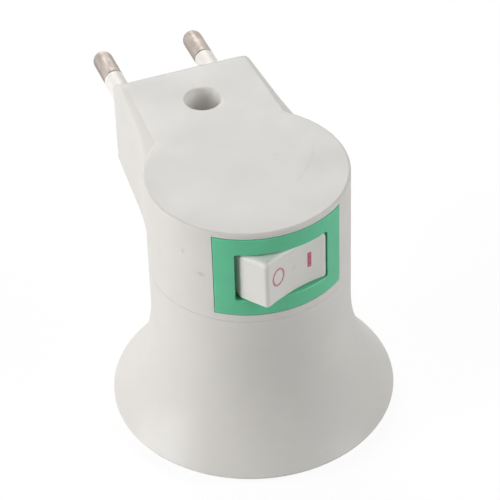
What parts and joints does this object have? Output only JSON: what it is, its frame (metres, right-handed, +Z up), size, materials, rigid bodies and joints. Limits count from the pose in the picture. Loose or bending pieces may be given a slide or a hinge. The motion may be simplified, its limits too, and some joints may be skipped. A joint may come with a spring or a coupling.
{
  "type": "switched lamp holder",
  "caption": "Plug-in lamp holder for a screw-cap lamp: white bell skirt, side plug block with two round pins, and a rocker switch in a green bezel.",
  "frame": {"origin": "on the surface the bell stands on, below the middle of the whole outline, pins included", "axes": "+Z up along the lamp axis, +Y the way the plug pins point, -Y the side of the rocker switch"},
  "size_m": [0.0546, 0.0866, 0.0537],
  "materials": {
    "shell_white": "satin white moulded plastic, lightly scuffed",
    "sleeve_white": "smooth white insulating plastic",
    "pin_nickel": "nickel-plated brass, drawn along the pin and a little worn",
    "bezel_green": "green moulded plastic, satin",
    "rocker_white": "white moulded plastic, satin",
    "contact_brass": "stamped brass",
    "contact_silver": "silver contact alloy",
    "screw_steel": "zinc-plated steel",
    "shell_nickel": "nickel-plated rolled sheet",
    "socket_black": "black thermoset",
    "wire_brown": "brown wire insulation",
    "wire_black": "black wire insulation",
    "wire_blue": "blue wire insulation"
  },
  "bodies": {
    "housing": {"bell_skirt": "shell_white", "upper_housing": "shell_white", "pin_left": "pin_nickel", "pin_right": "pin_nickel", "pin_sleeve_left": "sleeve_white", "pin_sleeve_right": "sleeve_white", "pin_carrier": "sleeve_white", "housing_screw": "screw_steel", "switch_frame": "bezel_green", "load_terminal": "contact_brass", "common_terminal": "contact_brass", "fixed_contact_button": "contact_silver", "socket_cup": "socket_black", "screw_shell": "shell_nickel", "centre_contact": "contact_brass", "centre_rivet": "contact_brass", "shell_rivet_back": "contact_brass", "shell_rivet_front": "contact_brass", "centre_lug": "contact_brass", "shell_lug": "contact_brass", "wire_live": "wire_brown", "wire_neutral": "wire_blue", "wire_switched": "wire_black"},
    "rocker_button": {"rocker": "rocker_white", "rocker_plunger": "contact_brass", "rocker_spring": "screw_steel"},
    "contact_arm": {"seesaw_contact": "contact_brass", "moving_contact_button": "contact_silver"}
  },
  "joints": [
    {"name": "rocker_turn", "type": "hinge", "parent": "housing", "child": "rocker_button", "pos_m": [0, -0.02857, 0.0438], "axis": [0, 0, 1], "range_deg": [-37.8, 0]},
    {"name": "contact_turn", "type": "hinge", "parent": "housing", "child": "contact_arm", "pos_m": [0, -0.02407, 0.0438], "axis": [0, 0, 1], "range_deg": [0, 20]}
  ],
  "couplings": [
    {"joint": "contact_turn", "follows": "rocker_turn", "ratio": -0.529}
  ]
}
